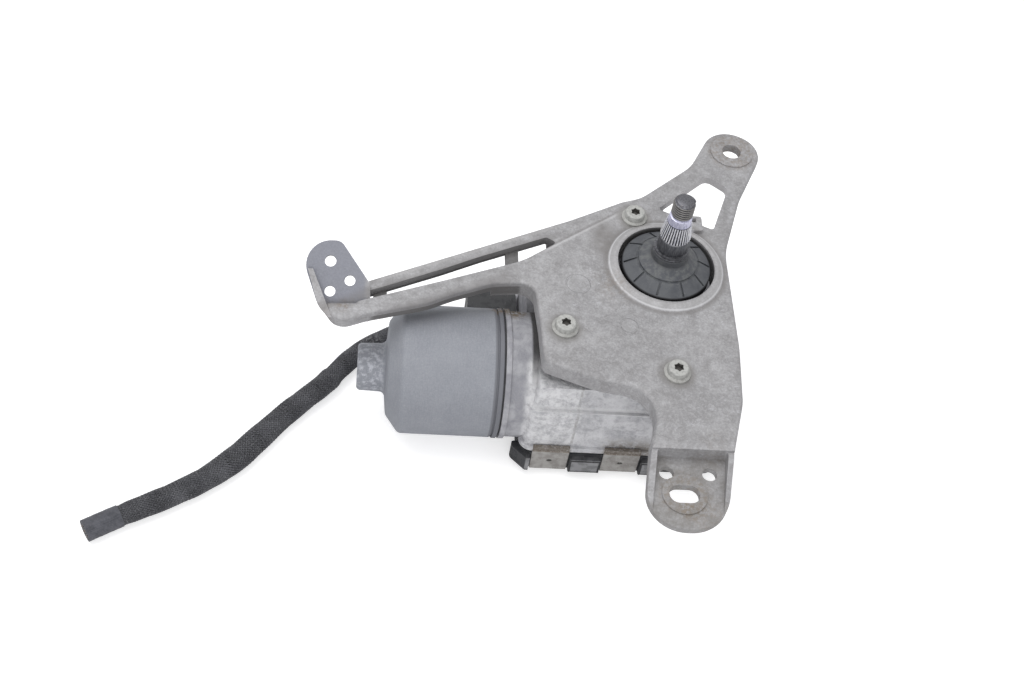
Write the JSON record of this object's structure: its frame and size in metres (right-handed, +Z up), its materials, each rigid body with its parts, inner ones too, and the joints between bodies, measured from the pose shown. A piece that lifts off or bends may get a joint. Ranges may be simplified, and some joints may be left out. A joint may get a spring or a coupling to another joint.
{
  "type": "windscreen wiper motor on a bracket",
  "caption": "Direct-drive wiper motor: a worm gearmotor under a die-cast three-legged bracket, with an upright knurled output spindle and a loose sleeved lead.",
  "frame": {"origin": "on the surface the motor lies on, under the middle of the bracket, motor and gear case without the loose lead", "axes": "+Z up along the output spindle, +X along the motor axis from the motor's closed end towards the gear case, +Y towards the bracket's ear"},
  "size_m": [0.3087, 0.2277, 0.115],
  "materials": {
    "cast_aluminium": "dull, oxidised casting",
    "zinc_steel": "blue-grey satin",
    "black_plastic": "matte, dusty",
    "gear_plastic": "satin",
    "steel": "machined",
    "clip_steel": "dull, stained",
    "screw_steel": "zinc-plated",
    "lamination_steel": "matte",
    "copper": "enamelled wire",
    "bronze": "sintered",
    "ferrite": "matte",
    "carbon": "matte",
    "rubber": "matte",
    "white_plastic": "satin",
    "board_green": "solder mask",
    "component_black": "moulded",
    "sleeve_fabric": "woven sleeve"
  },
  "bodies": {
    "case": {"bracket": "cast_aluminium", "gear_housing": "cast_aluminium", "motor_yoke": "zinc_steel", "bottom_cover": "black_plastic", "spindle_cap": "black_plastic", "brush_holder": "black_plastic", "bearing_outer_race": "steel", "bearing_shield": "steel", "brush_springs": "steel", "cover_clips": "clip_steel", "bracket_screws": "screw_steel", "rear_bush": "bronze", "front_bush": "bronze", "spindle_bush_lower": "bronze", "spindle_bush_upper": "bronze", "field_magnets": "ferrite", "carbon_brushes": "carbon", "yoke_seal": "rubber", "cover_gasket": "rubber", "spindle_seal": "rubber", "cable_grommet": "rubber", "thrust_pad": "white_plastic", "circuit_board": "board_green", "board_parts": "component_black", "harness_sleeve": "sleeve_fabric"},
    "armature": {"worm_shaft": "steel", "armature_core": "lamination_steel", "windings": "copper", "commutator": "copper", "bearing_inner_race": "steel"},
    "output": {"output_spindle": "steel", "worm_wheel": "gear_plastic", "wheel_insert": "steel", "sensor_magnet": "ferrite", "thrust_washer": "steel", "spindle_washer": "steel", "retaining_ring": "steel"}
  },
  "joints": [
    {"name": "armature_spin", "type": "hinge", "parent": "case", "child": "armature", "pos_m": [0.0545, -0.01425, 0.03], "axis": [1, 0, 0], "range_deg": [0, 6490]},
    {"name": "spindle_turn", "type": "hinge", "parent": "case", "child": "output", "pos_m": [0.0545, 0.02125, 0.06], "axis": [0, 0, 1], "range_deg": [-110, 0]}
  ],
  "couplings": [
    {"joint": "spindle_turn", "follows": "armature_spin", "ratio": -0.016949}
  ]
}
